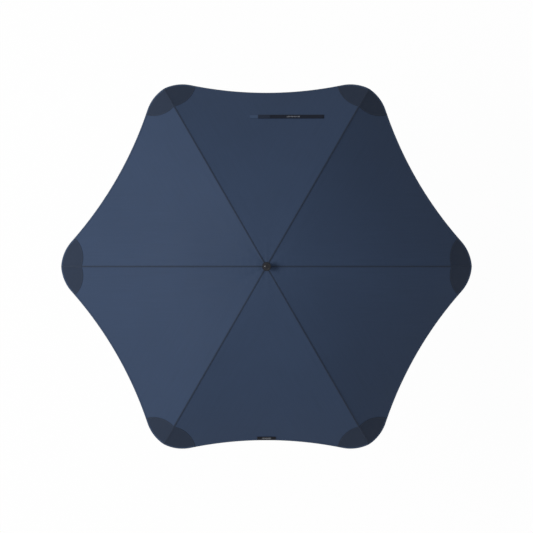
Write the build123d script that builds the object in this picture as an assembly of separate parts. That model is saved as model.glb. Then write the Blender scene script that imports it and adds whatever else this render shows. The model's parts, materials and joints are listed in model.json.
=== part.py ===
"""Three-fold compact umbrella with six ribs, shown open, built as separate pieces.

Frame: millimetres, +Z up along the shaft, origin at the bottom of the handle.
Rib 1 lies over +X and the others follow every 60 degrees.  Every rib chain is drawn in the
X-Z plane of rib 1 and turned about Z.  A link's own frame has X along the link, Z towards
the fabric and Y across it.
"""
from build123d import *
from math import atan2, cos, degrees, hypot, radians, sin, tan
import os

# ---------------------------------------------------------------- driving dimensions
RIB_COUNT = 6
RIB_STEP = 360 / RIB_COUNT
HALF_STEP = RIB_STEP / 2

CANOPY_RADIUS = 480.0        # centre to the outermost point of a corner
CANOPY_MID_RADIUS = 405.5    # centre to the hem, half way between two corners
CORNER_RADIUS = 85.0         # rounding of the canopy's corners
FABRIC = 0.8                 # thickness of the canopy solid
FABRIC_LIFT = 5.2            # canopy's underside above the centre line of the links
CANOPY_HOLE = 8.0            # hole at the centre, clamped under the ferrule
SECTOR_GAP = 0.3             # gap between neighbouring canopy solids

OPEN_INNER = 10.0            # slope of the inner rib below horizontal, canopy open
OPEN_MIDDLE = 19.0           # slope of the middle rib
OPEN_OUTER = 25.0            # slope of the outer rib where it starts
FOLD_TURN = 78.0             # how far the inner rib swings down to close

INNER_LENGTH = 150.0         # crown pivot to knee pivot
MIDDLE_LENGTH = 130.0        # knee pivot to elbow pivot
STRETCHER_AT = 105.0         # crown pivot to stretcher pivot, along the inner rib
STRETCHER_DROP = 0.4         # stretcher pivot below the inner rib's centre line
ROD_LENGTH = 176.0           # exposed outer rod, along its curve
ROD_BEND = 1361.0            # radius that the outer rod is bent to
CLOSED_TRAVEL = 200.0        # how far the upper tube slides down to close

INNER_WIDTH, INNER_DEPTH, INNER_WALL = 5.0, 4.4, 0.6
MIDDLE_WIDTH, MIDDLE_DEPTH = 3.2, 4.0
STRETCHER_WIDTH, STRETCHER_DEPTH = 3.0, 3.4
ROD_RADIUS = 1.6
KNEE_LIFT = 2.6              # knee pivot above the inner rib's centre line
KNEE_TO_MIDDLE = 2.4         # knee pivot above the middle rib's centre line
ELBOW_DROP = 3.0             # elbow pivot below the middle and outer centre lines
KNEE_BOSS, KNEE_REACH = 2.0, 2.6             # knee cheeks above and past their rivet
MIDDLE_BOSS, FORK_BOSS = 1.9, 2.2            # rounded ends of the middle rib and the elbow fork
RIVET_RADIUS = 0.8
RIVET_CLEARANCE = 0.05
RIVET_HEAD = 0.3             # how far a rivet stands out of the cheeks
CHEEK = 1.4                  # thickness of the elbow fork's cheeks
SIDE_PLAY = 0.3              # sideways play of a tongue in its fork

RING_RADIUS = 13.0           # pivot circle of the crown and of the runner
WIRE_RADIUS = 0.7            # wire rings that the ribs and stretchers turn on
WIRE_PLAY = 0.3
PIVOT_HEIGHT = 556.0         # height of the crown's pivot circle

LOWER_TUBE_RADIUS, UPPER_TUBE_RADIUS, TUBE_WALL = 5.8, 7.0, 0.7
TUBE_PLAY = 0.15             # radial play of the sliding fits of the shaft
UPPER_TUBE_FOOT = 300.0      # lower end of the upper tube, shaft drawn out
LOWER_TUBE_FOOT = 20.0
BUSH_LENGTH = 14.0
SPRING_WIRE = 1.1
SPRING_ROUND = 1.3           # coil's centre line inside the upper tube's bore
SPRING_FILL = 0.65           # share of the closed room that the coils fill, side by side
COLLAR_LIP, COLLAR_GRIP, COLLAR_WALL = 6.0, 6.0, 1.4

CROWN_RADIUS = 16.0
CROWN_TOP = 4.4              # crown's top face above the pivot circle
CROWN_FOOT = 6.0             # crown's lower face below the pivot circle
CROWN_CORE = 10.0            # radius of the solid core between the slots
CROWN_PLUG = 12.0            # depth of the crown's plug in the upper tube
SLOT_PLAY = 0.3

RUNNER_CORE, RUNNER_FLANGE = 10.0, 17.0
RUNNER_BELOW, RUNNER_ABOVE = 34.0, 7.0
RUNNER_SKIRT = 12.0
FINGER_RINGS, FINGER_PITCH = 4, 5.0          # grooves round the runner's grip
RUNNER_PLAY = 0.25

GRIP_RADIUS, GRIP_WALL = 15.5, 3.0
GRIP_FOOT, GRIP_STRAIGHT, HANDLE_TOP = 11.0, 68.0, 95.0
GRIP_MOUTH, MOUTH_DEPTH = 18.0, 10.0
BUTTON_RADIUS, BUTTON_HEIGHT, BUTTON_PLAY = 6.0, 52.0, 0.25
BUTTON_PROUD = 1.6           # button's face outside the grip
BUTTON_BACK, BUTTON_STEM = 11.5, 1.6         # back of the head from the axis, radius of the stem
BUTTON_POCKET = 7.0          # floor of the button's pocket from the axis
DISH_RADIUS, DISH_DEPTH = 20.0, 0.8
BUTTON_EDGE = 0.8            # rounding of the button's rim
PLATE_THICKNESS = 1.0
BUTTON_SPRING_RADIUS, BUTTON_SPRING_WIRE = 3.4, 0.6
END_PLAY = 0.1               # play at each end of the springs
LANYARD_HOLE = 2.25
LUG_RADIUS, LUG_THICKNESS = 4.5, 6.0
CAP_FLANGE = 3.0             # thickness of the end cap's visible rim
CORE_FOOT_GAP = 4.0          # room under the core for the end cap's plug
CORE_PLAY = 0.2
FABRIC_PLAY = 0.35           # canopy above the crown's top face

FERRULE_RADIUS, FERRULE_HEIGHT = 8.8, 21.0
FERRULE_WAIST, FERRULE_EDGE = 2.5, 1.0      # how far the waist and the dome's edge stand in
FERRULE_DOME = 4.5           # height of the domed top
STUD_BORE = 3.0              # bore through the crown and washer for the ferrule's stud
STUD_GRIP = 0.05
WASHER_RADIUS, WASHER_THICKNESS = 9.8, 1.0

SPREADER_THICKNESS, SPREADER_GAP = 1.6, 0.4
SPREADER_RIM = 5.0
SPREADER_SPOKE = 4.0
SPREADER_HUB = 15.0
SOCKET_PLAY = 0.1
SPREADER_ANGLES = (-50, -25, 0, 25, 50)

STRAP_LENGTH, STRAP_WIDTH, STRAP_THICKNESS = 171.0, 12.0, 0.8
STRAP_INSET = 60.0           # strap's centre line, in from the middle of the hem
STRAP_OFFSET = 47.0          # strap's middle, sideways from the panel's middle
LABEL_LENGTH, LABEL_WIDTH, LABEL_THICKNESS = 43.0, 10.0, 0.6
LABEL_INSET = 5.5            # label's centre line, in from the middle of the hem

# ---------------------------------------------------------------- derived sizes
STRETCHER_SLOPE = OPEN_INNER + degrees(atan2(STRETCHER_DROP, STRETCHER_AT))
STRETCHER_LENGTH = hypot(STRETCHER_AT, STRETCHER_DROP)
RUNNER_HEIGHT = PIVOT_HEIGHT - 2 * STRETCHER_LENGTH * sin(radians(STRETCHER_SLOPE))
UPPER_TUBE_TOP = PIVOT_HEIGHT + 1.0
UPPER_BORE = UPPER_TUBE_RADIUS - TUBE_WALL
LOWER_BORE = LOWER_TUBE_RADIUS - TUBE_WALL
BUSH_FOOT = UPPER_TUBE_FOOT
LOWER_TUBE_TOP = BUSH_FOOT + BUSH_LENGTH
WIRE_HOLE = WIRE_RADIUS + WIRE_PLAY
RIVET_HOLE = RIVET_RADIUS + RIVET_CLEARANCE
FABRIC_AT_CROWN = PIVOT_HEIGHT + CROWN_TOP + FABRIC_PLAY
BORE_GRIP = GRIP_RADIUS - GRIP_WALL
CORE_RADIUS = BORE_GRIP - CORE_PLAY
WASHER_FOOT = FABRIC_AT_CROWN + FABRIC + SECTOR_GAP
SPRING_ROOM = PIVOT_HEIGHT - CROWN_PLUG - LOWER_TUBE_TOP
SPRING_TURNS = int((SPRING_ROOM - CLOSED_TRAVEL) * SPRING_FILL / SPRING_WIRE)
OVER_CANOPY = PIVOT_HEIGHT + 100.0          # height of the prisms that sheets are cut from


# ---------------------------------------------------------------- small helpers
def link_frame(x, z, slope):
    """Location of a link's own frame in rib 1's plane; a positive slope points it down."""
    return Pos(x, 0, z) * Rot(0, slope, 0)


def from_link(origin, slope, along, lift):
    """Point (x, z) in rib 1's plane of a place given along and above a link."""
    s = radians(slope)
    return (origin[0] + along * cos(s) + lift * sin(s),
            origin[1] - along * sin(s) + lift * cos(s))


def cross_pin(radius, width, x=0.0, z=0.0):
    """Cylinder across a link, along its Y."""
    return Pos(x, 0, z) * Rot(90, 0, 0) * Cylinder(radius, width)


def block(x0, x1, y0, y1, z0, z1):
    return Pos((x0 + x1) / 2, (y0 + y1) / 2, (z0 + z1) / 2) * Box(x1 - x0, y1 - y0, z1 - z0)


def turned(points):
    """Solid of revolution about Z of a closed (radius, height) outline."""
    return revolve(make_face(Plane.XZ * Polyline(*points, close=True)), Axis.Z)


def tube(outer, inner, z0, z1):
    return Pos(0, 0, (z0 + z1) / 2) * (Cylinder(outer, z1 - z0) - Cylinder(inner, z1 - z0))


def rod(radius, z0, z1):
    return Pos(0, 0, (z0 + z1) / 2) * Cylinder(radius, z1 - z0)


# ---------------------------------------------------------------- rib chain, pivots when open
CROWN_PIVOT = (RING_RADIUS, PIVOT_HEIGHT)
KNEE = from_link(CROWN_PIVOT, OPEN_INNER, INNER_LENGTH, KNEE_LIFT)
ELBOW = from_link(KNEE, OPEN_MIDDLE, MIDDLE_LENGTH, -(KNEE_TO_MIDDLE + ELBOW_DROP))
SLEEVE_START, SLEEVE_END, ROD_START = 3.0, 26.0, 12.0
ROD_TURN = degrees(ROD_LENGTH / ROD_BEND)


def along_rod(distance, lift=0.0):
    """Point (x, z) at a distance past the sleeve along the bent rod's centre line."""
    turn = distance / ROD_BEND
    u = SLEEVE_END + (ROD_BEND + lift) * sin(turn)
    w = ELBOW_DROP - ROD_BEND + (ROD_BEND + lift) * cos(turn)
    return from_link(ELBOW, OPEN_OUTER, u, w)


ROD_TIP = along_rod(ROD_LENGTH)
ROD_TIP_SLOPE = OPEN_OUTER + ROD_TURN


def inner_rib():
    """Folded U channel, open below, with knee cheeks at its end and its two rivets."""
    half, deep = INNER_WIDTH / 2, INNER_DEPTH / 2
    inside = half - INNER_WALL
    cheek_top = KNEE_LIFT + KNEE_BOSS
    end = INNER_LENGTH + KNEE_REACH
    body = block(0, end, -half, half, -deep, deep) + cross_pin(deep, INNER_WIDTH)
    cheeks = block(INNER_LENGTH - 5, end, -half, half, 0, cheek_top)
    cheeks = fillet(cheeks.edges().filter_by(Axis.Y).group_by(Axis.Z)[-1], MIDDLE_BOSS)
    body += cheeks
    body -= block(-deep - 1, end + 1, -inside, inside, -deep - 1, deep - INNER_WALL)
    body -= block(INNER_LENGTH - 8, end + 1, -inside, inside, -deep - 1, cheek_top + 1)
    body -= block(-deep - 1, deep, -inside, inside, -deep - 1, deep + 1)
    body -= cross_pin(WIRE_HOLE, INNER_WIDTH + 2)
    pivots = ((STRETCHER_AT, -STRETCHER_DROP), (INNER_LENGTH, KNEE_LIFT))
    pieces = [body]
    for x, z in pivots:
        pieces[0] -= cross_pin(RIVET_RADIUS, INNER_WIDTH + 2, x, z)
        pieces.append(cross_pin(RIVET_RADIUS, INNER_WIDTH + 2 * RIVET_HEAD, x, z))
    place = link_frame(*CROWN_PIVOT, OPEN_INNER)
    return Compound([place * piece for piece in pieces])


def stretcher():
    """Flat bar from the runner's ring up into the inner rib's channel."""
    half, deep = STRETCHER_WIDTH / 2, STRETCHER_DEPTH / 2
    bar = block(0, STRETCHER_LENGTH, -half, half, -deep, deep)
    bar += cross_pin(deep, STRETCHER_WIDTH) + cross_pin(deep, STRETCHER_WIDTH, STRETCHER_LENGTH)
    bar -= cross_pin(WIRE_HOLE, STRETCHER_WIDTH + 2)
    bar -= cross_pin(RIVET_HOLE, STRETCHER_WIDTH + 2, STRETCHER_LENGTH)
    return link_frame(RING_RADIUS, RUNNER_HEIGHT, -STRETCHER_SLOPE) * bar


def middle_rib():
    """Bar from the knee to the elbow, hung below the knee pivot and above the elbow pivot."""
    half = MIDDLE_WIDTH / 2
    top, foot = -KNEE_TO_MIDDLE + MIDDLE_DEPTH / 2, -KNEE_TO_MIDDLE - MIDDLE_DEPTH / 2
    elbow = -(KNEE_TO_MIDDLE + ELBOW_DROP)
    bar = block(0, MIDDLE_LENGTH + MIDDLE_BOSS, -half, half, foot, top)
    bar += cross_pin(MIDDLE_BOSS, MIDDLE_WIDTH)
    bar += block(MIDDLE_LENGTH - 3.5, MIDDLE_LENGTH + MIDDLE_BOSS, -half, half, elbow, foot + 1)
    bar += cross_pin(MIDDLE_BOSS, MIDDLE_WIDTH, MIDDLE_LENGTH, elbow)
    bar -= cross_pin(RIVET_HOLE, MIDDLE_WIDTH + 2)
    bar -= cross_pin(RIVET_HOLE, MIDDLE_WIDTH + 2, MIDDLE_LENGTH, elbow)
    return link_frame(*KNEE, OPEN_MIDDLE) * bar


def outer_rib():
    """Moulded elbow sleeve with its fork, the elbow rivet and the bent rod in the sleeve."""
    inside = MIDDLE_WIDTH / 2 + SIDE_PLAY
    outside = inside + CHEEK
    sleeve = block(SLEEVE_START, SLEEVE_END, -outside, outside, 0.6, ELBOW_DROP + 2.4)
    sleeve = fillet(sleeve.edges().filter_by(Axis.X), 1.2)
    fork = block(0, SLEEVE_START + 6, -outside, outside, -FORK_BOSS, ELBOW_DROP + 1.6)
    fork += cross_pin(FORK_BOSS, 2 * outside)
    sleeve += fork
    sleeve -= block(-FORK_BOSS - 1, SLEEVE_START, -inside, inside, -FORK_BOSS - 1, ELBOW_DROP + 3)
    sleeve -= block(-FORK_BOSS - 1, SLEEVE_START + 7, -inside, inside, -FORK_BOSS - 1, 0.6)
    sleeve -= cross_pin(RIVET_RADIUS, 2 * outside + 2)
    rivet = cross_pin(RIVET_RADIUS, 2 * (outside + RIVET_HEAD))
    centre = ELBOW_DROP - ROD_BEND
    end = (SLEEVE_END + ROD_BEND * sin(radians(ROD_TURN)), centre + ROD_BEND * cos(radians(ROD_TURN)))
    middle = (SLEEVE_END + ROD_BEND * sin(radians(ROD_TURN / 2)),
              centre + ROD_BEND * cos(radians(ROD_TURN / 2)))
    path = Polyline((ROD_START, 0, ELBOW_DROP), (SLEEVE_END, 0, ELBOW_DROP))
    path += ThreePointArc((SLEEVE_END, 0, ELBOW_DROP), (middle[0], 0, middle[1]), (end[0], 0, end[1]))
    section = Plane((ROD_START, 0, ELBOW_DROP), z_dir=(1, 0, 0)) * Circle(ROD_RADIUS)
    bent = sweep(section, path=path)
    sleeve -= Pos((ROD_START + SLEEVE_END + 1) / 2, 0, ELBOW_DROP) * Rot(0, 90, 0) * Cylinder(
        ROD_RADIUS, SLEEVE_END + 1 - ROD_START)
    place = link_frame(*ELBOW, OPEN_OUTER)
    return Compound([place * piece for piece in (sleeve, rivet, bent)])


# ---------------------------------------------------------------- canopy
def fabric_profile():
    """Underside of the canopy over a rib, as (distance from the shaft, height) points."""
    knee = from_link(CROWN_PIVOT, OPEN_INNER, INNER_LENGTH, FABRIC_LIFT)
    start = from_link(CROWN_PIVOT, OPEN_INNER, 3.0, FABRIC_LIFT)
    elbow = from_link(ELBOW, OPEN_OUTER, 0, ELBOW_DROP + FABRIC_LIFT)
    middle = along_rod(ROD_LENGTH * 0.35, FABRIC_LIFT)
    far = along_rod(ROD_LENGTH, FABRIC_LIFT)
    reach = CANOPY_RADIUS + 20 - far[0]
    tip = (CANOPY_RADIUS + 20, far[1] - reach * tan(radians(ROD_TIP_SLOPE)))
    return [(0, FABRIC_AT_CROWN), (start[0], FABRIC_AT_CROWN), knee, elbow, middle, far, tip]


def shell(lift, thickness):
    """Panel from rib 1 to the next rib, as a sheet lifted off the canopy's underside.

    Its height depends only on the distance measured square to the hem, as on taut cloth."""
    squeeze = cos(radians(HALF_STEP))
    low = [(r * squeeze, z + lift) for r, z in fabric_profile()]
    high = [(r, z + thickness) for r, z in reversed(low)]
    width = CANOPY_RADIUS * 1.2
    sheet = extrude(make_face(Plane.XZ * Polyline(*low, *high, close=True)), width / 2, both=True)
    return Rot(0, 0, HALF_STEP) * sheet


def corner_and_hem():
    """Corner arc and hem arc of one half sector, from (tip) to (middle of the panel)."""
    corner = CANOPY_RADIUS - CORNER_RADIUS
    c = cos(radians(HALF_STEP))
    near = CANOPY_MID_RADIUS - CORNER_RADIUS
    far = (corner ** 2 - near ** 2) / (2 * (corner * c - near))
    hem = Vector(far * c, far * sin(radians(HALF_STEP)))
    join = Vector(corner, 0) + (hem - Vector(corner, 0)).normalized() * CORNER_RADIUS
    return corner, hem, far - CANOPY_MID_RADIUS, join


def half_outline(x0, x1):
    """Plan of the half sector beside rib 1 between two distances along the rib."""
    corner, hem, hem_radius, join = corner_and_hem()
    a = radians(HALF_STEP)
    rim = Vector(CANOPY_MID_RADIUS * cos(a), CANOPY_MID_RADIUS * sin(a))
    turn = atan2(join.Y, join.X - corner)
    on_corner = (corner + CORNER_RADIUS * cos(turn / 2), CORNER_RADIUS * sin(turn / 2))
    hem_way = ((join + rim) * 0.5 - hem).normalized() * hem_radius + hem
    edge = ThreePointArc((CANOPY_RADIUS, 0), on_corner, (join.X, join.Y))
    edge += ThreePointArc((join.X, join.Y), (hem_way.X, hem_way.Y), (rim.X, rim.Y))
    edge += Polyline((rim.X, rim.Y), (0, 0), (CANOPY_RADIUS, 0))
    whole = make_face(edge)
    window = Pos((x0 + x1) / 2, CANOPY_RADIUS / 2) * Rectangle(x1 - x0, CANOPY_RADIUS)
    trimmed = whole & window
    edge_gap = Rot(0, 0, HALF_STEP) * Pos(CANOPY_RADIUS / 2, 0) * Rectangle(CANOPY_RADIUS * 1.2, SECTOR_GAP)
    return trimmed - edge_gap


def sector(x0, x1, lift=0.0, thickness=FABRIC, plan=None):
    """Roof-shaped sheet over rib 1: the half beside it and its mirror image."""
    outline = half_outline(x0, x1) if plan is None else plan
    prism = extrude(outline, OVER_CANOPY)
    half = prism & shell(lift, thickness)
    return half + mirror(half, Plane.XZ)


ELBOW_CUT = ELBOW[0]


def canopy_inner():
    return sector(CANOPY_HOLE, ELBOW_CUT - SECTOR_GAP / 2)


def canopy_outer():
    return sector(ELBOW_CUT + SECTOR_GAP / 2, CANOPY_RADIUS + 1)


def tip_spreader():
    """Springy fan that fills the corner pocket: a rim, spokes and a hub on the rod's end."""
    corner = CANOPY_RADIUS - CORNER_RADIUS
    rim_radius = CORNER_RADIUS - 3.0
    hub_x = ROD_TIP[0] - 4
    reach = max(abs(a) for a in SPREADER_ANGLES)
    band = Circle(rim_radius) - Circle(rim_radius - SPREADER_RIM)
    wedge = make_face(Polyline((0, 0), (2 * rim_radius, 0), (
        2 * rim_radius * cos(radians(reach)), 2 * rim_radius * sin(radians(reach))), close=True))
    plan = Pos(corner, 0) * (band & wedge)
    for angle in [a for a in SPREADER_ANGLES if a >= 0]:
        end = Vector(corner + (rim_radius - 2) * cos(radians(angle)), (rim_radius - 2) * sin(radians(angle)))
        start = Vector(hub_x - 14 if angle else hub_x - 20, 0)
        way = end - start
        bar = Rectangle(way.length, SPREADER_SPOKE)
        plan += Pos((start.X + end.X) / 2, (start.Y + end.Y) / 2) * Rot(0, 0, degrees(
            atan2(way.Y, way.X))) * bar
    plan &= Pos(CANOPY_RADIUS, CANOPY_RADIUS / 2) * Rectangle(CANOPY_RADIUS, CANOPY_RADIUS)
    fan = sector(0, 0, -SPREADER_GAP - SPREADER_THICKNESS, SPREADER_THICKNESS, plan)
    at = ROD_LENGTH - SPREADER_HUB / 2
    place = link_frame(*along_rod(at), OPEN_OUTER + degrees(at / ROD_BEND))
    hub = place * Pos(1.5, 0, 0) * Rot(0, 90, 0) * Cylinder(3.6, SPREADER_HUB + 3)
    bore = Rot(0, 90, 0) * Cylinder(ROD_RADIUS + SOCKET_PLAY, 2 * SPREADER_HUB)
    socket = place * Pos(-SPREADER_HUB / 2, 0, 0) * bore
    return fan + hub - socket


def on_panel(radius, offset, width, length, thickness, panel):
    """Flat strip lying on a panel along its hem; panel counts from the one after rib 1."""
    plan = Pos(radius, offset) * RectangleRounded(width, length, width * 0.15)
    prism = Rot(0, 0, HALF_STEP) * extrude(plan, OVER_CANOPY)
    return Rot(0, 0, RIB_STEP * panel) * (prism & shell(FABRIC + SECTOR_GAP, thickness))


def closure_strap():
    """Strap that holds the folded umbrella, lying flat on the panel between ribs 2 and 3."""
    radius = CANOPY_MID_RADIUS - STRAP_INSET
    return on_panel(radius, -STRAP_OFFSET, STRAP_WIDTH, STRAP_LENGTH, STRAP_THICKNESS, 1)


def hem_label():
    """Sewn label at the middle of the hem between ribs 5 and 6."""
    return on_panel(CANOPY_MID_RADIUS - LABEL_INSET, 0, LABEL_WIDTH, LABEL_LENGTH, LABEL_THICKNESS, 4)


# ---------------------------------------------------------------- crown, ferrule and runner
def wire_ring(height):
    return Pos(0, 0, height) * Torus(RING_RADIUS, WIRE_RADIUS)


def slots(height, width, depth_below, depth_above, core):
    """Six radial slots open at the rim, for the ends of the ribs or stretchers."""
    one = block(core, RUNNER_FLANGE + 5, -width / 2, width / 2, height - depth_below, height + depth_above)
    return [Rot(0, 0, RIB_STEP * i) * one for i in range(RIB_COUNT)]


def crown():
    """Top notch: slotted disc on the upper tube, with a plug inside the tube."""
    h = PIVOT_HEIGHT
    outline = [(STUD_BORE, h - CROWN_PLUG), (UPPER_BORE, h - CROWN_PLUG), (UPPER_BORE, UPPER_TUBE_TOP),
               (UPPER_TUBE_RADIUS, UPPER_TUBE_TOP), (UPPER_TUBE_RADIUS, h - CROWN_FOOT),
               (CROWN_RADIUS - 2, h - CROWN_FOOT), (CROWN_RADIUS, h - CROWN_FOOT + 2),
               (CROWN_RADIUS, h + CROWN_TOP - 1), (CROWN_RADIUS - 1, h + CROWN_TOP),
               (STUD_BORE, h + CROWN_TOP)]
    body = turned(outline)
    ceiling = INNER_DEPTH / 2 + 0.5
    for slot in slots(h, INNER_WIDTH + 2 * SLOT_PLAY, CROWN_FOOT + 1, ceiling, CROWN_CORE):
        body -= slot
    body -= Pos(0, 0, h) * Torus(RING_RADIUS, WIRE_RADIUS + 0.05)
    return Compound([body, wire_ring(h)])


def ferrule():
    """Domed cap over the centre of the canopy, with a stud pressed into the crown."""
    foot = WASHER_FOOT + WASHER_THICKNESS
    top = foot + FERRULE_HEIGHT
    stud, stud_foot = STUD_BORE - STUD_GRIP, PIVOT_HEIGHT - CROWN_PLUG + 2
    edge = FERRULE_RADIUS - FERRULE_EDGE
    waist = FERRULE_RADIUS - FERRULE_WAIST
    shoulder = top - FERRULE_DOME
    dome = (edge ** 2 + FERRULE_DOME ** 2) / (2 * FERRULE_DOME)
    half_turn = atan2(edge, dome - FERRULE_DOME) / 2
    on_dome = (dome * sin(half_turn), top - dome * (1 - cos(half_turn)))
    profile = Polyline((0, stud_foot), (stud, stud_foot), (stud, foot), (waist + 1, foot),
                       (waist, foot + 4), (waist + 0.9, foot + 9), (FERRULE_RADIUS, shoulder - 2.5),
                       (FERRULE_RADIUS, shoulder - 1), (edge, shoulder))
    profile += ThreePointArc((edge, shoulder), on_dome, (0, top))
    profile += Line((0, top), (0, stud_foot))
    return revolve(make_face(Plane.XZ * profile), Axis.Z)


def ferrule_washer():
    return tube(WASHER_RADIUS, STUD_BORE, WASHER_FOOT, WASHER_FOOT + WASHER_THICKNESS)


def runner():
    """Sliding collar with a slotted flange for the stretchers and finger rings below."""
    h, bore = RUNNER_HEIGHT, UPPER_TUBE_RADIUS + RUNNER_PLAY
    skirt_top = h - RUNNER_BELOW + 4
    outline = [(bore, h - RUNNER_BELOW), (RUNNER_SKIRT, h - RUNNER_BELOW), (RUNNER_SKIRT, skirt_top)]
    for k in range(FINGER_RINGS):
        z = skirt_top + FINGER_PITCH * k
        outline += [(RUNNER_CORE, z + 1.2), (RUNNER_CORE, z + 3.2), (RUNNER_SKIRT - 1, z + 4.2),
                    (RUNNER_SKIRT - 1, z + FINGER_PITCH)]
    outline += [(RUNNER_CORE, h - 8), (RUNNER_FLANGE, h - 4), (RUNNER_FLANGE, h + 2.6),
                (RUNNER_FLANGE - 1, h + 3.4), (RUNNER_CORE, h + 3.4), (RUNNER_CORE - 1, h + RUNNER_ABOVE),
                (bore, h + RUNNER_ABOVE)]
    body = turned(outline)
    width = STRETCHER_WIDTH + 2 * SLOT_PLAY
    for slot in slots(h, width, STRETCHER_DEPTH / 2 + 0.5, RUNNER_ABOVE + 1, RUNNER_CORE + 0.4):
        body -= slot
    body -= Pos(0, 0, h) * Torus(RING_RADIUS, WIRE_RADIUS + 0.05)
    return Compound([body, wire_ring(h)])


# ---------------------------------------------------------------- shaft and handle
def helix_spring(radius, wire, z0, z1, turns):
    """Round-wire compression spring about Z."""
    height = z1 - z0 - wire
    path = Pos(0, 0, z0 + wire / 2) * Helix(height / turns, height, radius)
    start = path @ 0
    return sweep(Plane(start, z_dir=path % 0) * Circle(wire / 2), path=path, is_frenet=True)


def lower_tube():
    return tube(LOWER_TUBE_RADIUS, LOWER_BORE, LOWER_TUBE_FOOT, LOWER_TUBE_TOP)


def lower_tube_bush():
    """Plastic bush on the lower tube's top end, running inside the upper tube."""
    return tube(UPPER_BORE - TUBE_PLAY, LOWER_TUBE_RADIUS, BUSH_FOOT + SECTOR_GAP, LOWER_TUBE_TOP)


def upper_tube():
    return tube(UPPER_TUBE_RADIUS, UPPER_BORE, UPPER_TUBE_FOOT, UPPER_TUBE_TOP)


def tube_collar():
    """Plastic collar on the upper tube's foot, sliding on the lower tube."""
    foot, top = UPPER_TUBE_FOOT - COLLAR_LIP, UPPER_TUBE_FOOT + COLLAR_GRIP
    outer, lip = UPPER_TUBE_RADIUS + COLLAR_WALL, LOWER_TUBE_RADIUS + TUBE_PLAY
    chamfer = 0.8
    return turned([(lip, foot), (outer - chamfer, foot), (outer, foot + chamfer), (outer, top - chamfer),
                   (outer - chamfer, top), (UPPER_TUBE_RADIUS, top), (UPPER_TUBE_RADIUS, UPPER_TUBE_FOOT),
                   (lip, UPPER_TUBE_FOOT)])


def opening_spring():
    """Spring inside the shaft between the lower tube's bush and the crown's plug."""
    foot, top = LOWER_TUBE_TOP + 2 * END_PLAY, PIVOT_HEIGHT - CROWN_PLUG - 2 * END_PLAY
    return helix_spring(UPPER_BORE - SPRING_ROUND, SPRING_WIRE, foot, top, SPRING_TURNS)


def button_axis(shape):
    """Carries a shape drawn along +Z to the button's place, pointing out along -Y."""
    return Pos(0, 0, BUTTON_HEIGHT) * Rot(90, 0, 0) * shape


def handle_grip():
    """Outer sleeve of the handle, flared to a mouth that takes the rib tips."""
    mouth = (GRIP_MOUTH, HANDLE_TOP - 2)
    flare = Spline((GRIP_RADIUS, GRIP_STRAIGHT), (GRIP_RADIUS + 1.0, HANDLE_TOP - 13), mouth,
                   tangents=((0, 1), (0.3, 1)))
    edge = Polyline((BORE_GRIP, GRIP_FOOT), (GRIP_RADIUS, GRIP_FOOT), (GRIP_RADIUS, GRIP_STRAIGHT)) + flare
    edge += Polyline(mouth, (GRIP_MOUTH - 0.6, HANDLE_TOP), (GRIP_MOUTH - 2.2, HANDLE_TOP),
                     (BORE_GRIP, HANDLE_TOP - MOUTH_DEPTH), (BORE_GRIP, GRIP_FOOT))
    body = revolve(make_face(Plane.XZ * edge), Axis.Z)
    return body - button_axis(Pos(0, 0, GRIP_RADIUS) * Cylinder(BUTTON_RADIUS + BUTTON_PLAY, 2 * GRIP_RADIUS))


def handle_core():
    """Moulded core that grips the lower tube and houses the button."""
    top, foot = HANDLE_TOP - MOUTH_DEPTH, GRIP_FOOT + CORE_FOOT_GAP
    body = rod(CORE_RADIUS, foot, top)
    body -= rod(LOWER_TUBE_RADIUS, LOWER_TUBE_FOOT, top + 1)
    return body - button_axis(rod(BUTTON_RADIUS + BUTTON_PLAY, BUTTON_POCKET, 2 * GRIP_RADIUS))


def handle_cap():
    """End cap pressed into the grip, with a pierced lug for a wrist strap."""
    foot = GRIP_FOOT - CAP_FLANGE
    rim = rod(GRIP_RADIUS - 0.5, foot, GRIP_FOOT)
    rim = fillet(rim.edges().filter_by(GeomType.CIRCLE).sort_by(Axis.Z)[0], CAP_FLANGE / 2)
    rim += rod(BORE_GRIP, GRIP_FOOT - 1, GRIP_FOOT + CORE_FOOT_GAP)
    half = LUG_THICKNESS / 2
    lug = Pos(0, 0, LUG_RADIUS) * Rot(0, 90, 0) * Cylinder(LUG_RADIUS, LUG_THICKNESS)
    lug += block(-half, half, -LUG_RADIUS, LUG_RADIUS, LUG_RADIUS, foot + 1)
    hole = Pos(0, 0, LUG_RADIUS) * Rot(0, 90, 0) * Cylinder(LANYARD_HOLE, LUG_THICKNESS + 2)
    return rim + lug - hole


def release_button():
    """Round push button with a shallow dish and a stem behind it."""
    face = GRIP_RADIUS + BUTTON_PROUD
    head = rod(BUTTON_RADIUS, BUTTON_BACK, face)
    head = fillet(head.edges().filter_by(GeomType.CIRCLE).sort_by(Axis.Z)[-1], BUTTON_EDGE)
    head -= Pos(0, 0, face + DISH_RADIUS - DISH_DEPTH) * Sphere(DISH_RADIUS)
    head += rod(BUTTON_STEM, BUTTON_BACK - 1.3 * PLATE_THICKNESS, BUTTON_BACK + 0.3)
    return button_axis(head)


def button_plate():
    """Steel plate on the button's stem, which the spring bears on."""
    plate = block(-3, 3, -5, 5, BUTTON_BACK - PLATE_THICKNESS, BUTTON_BACK)
    return button_axis(plate - rod(BUTTON_STEM, BUTTON_POCKET, BUTTON_BACK + 1))


def button_spring():
    floor, back = BUTTON_POCKET + END_PLAY, BUTTON_BACK - PLATE_THICKNESS - END_PLAY
    return button_axis(helix_spring(BUTTON_SPRING_RADIUS, BUTTON_SPRING_WIRE, floor, back, 3))


# ---------------------------------------------------------------- writing the nodes
def write(name, shape):
    export_step(shape, f"parts/{name}.step")


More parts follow.
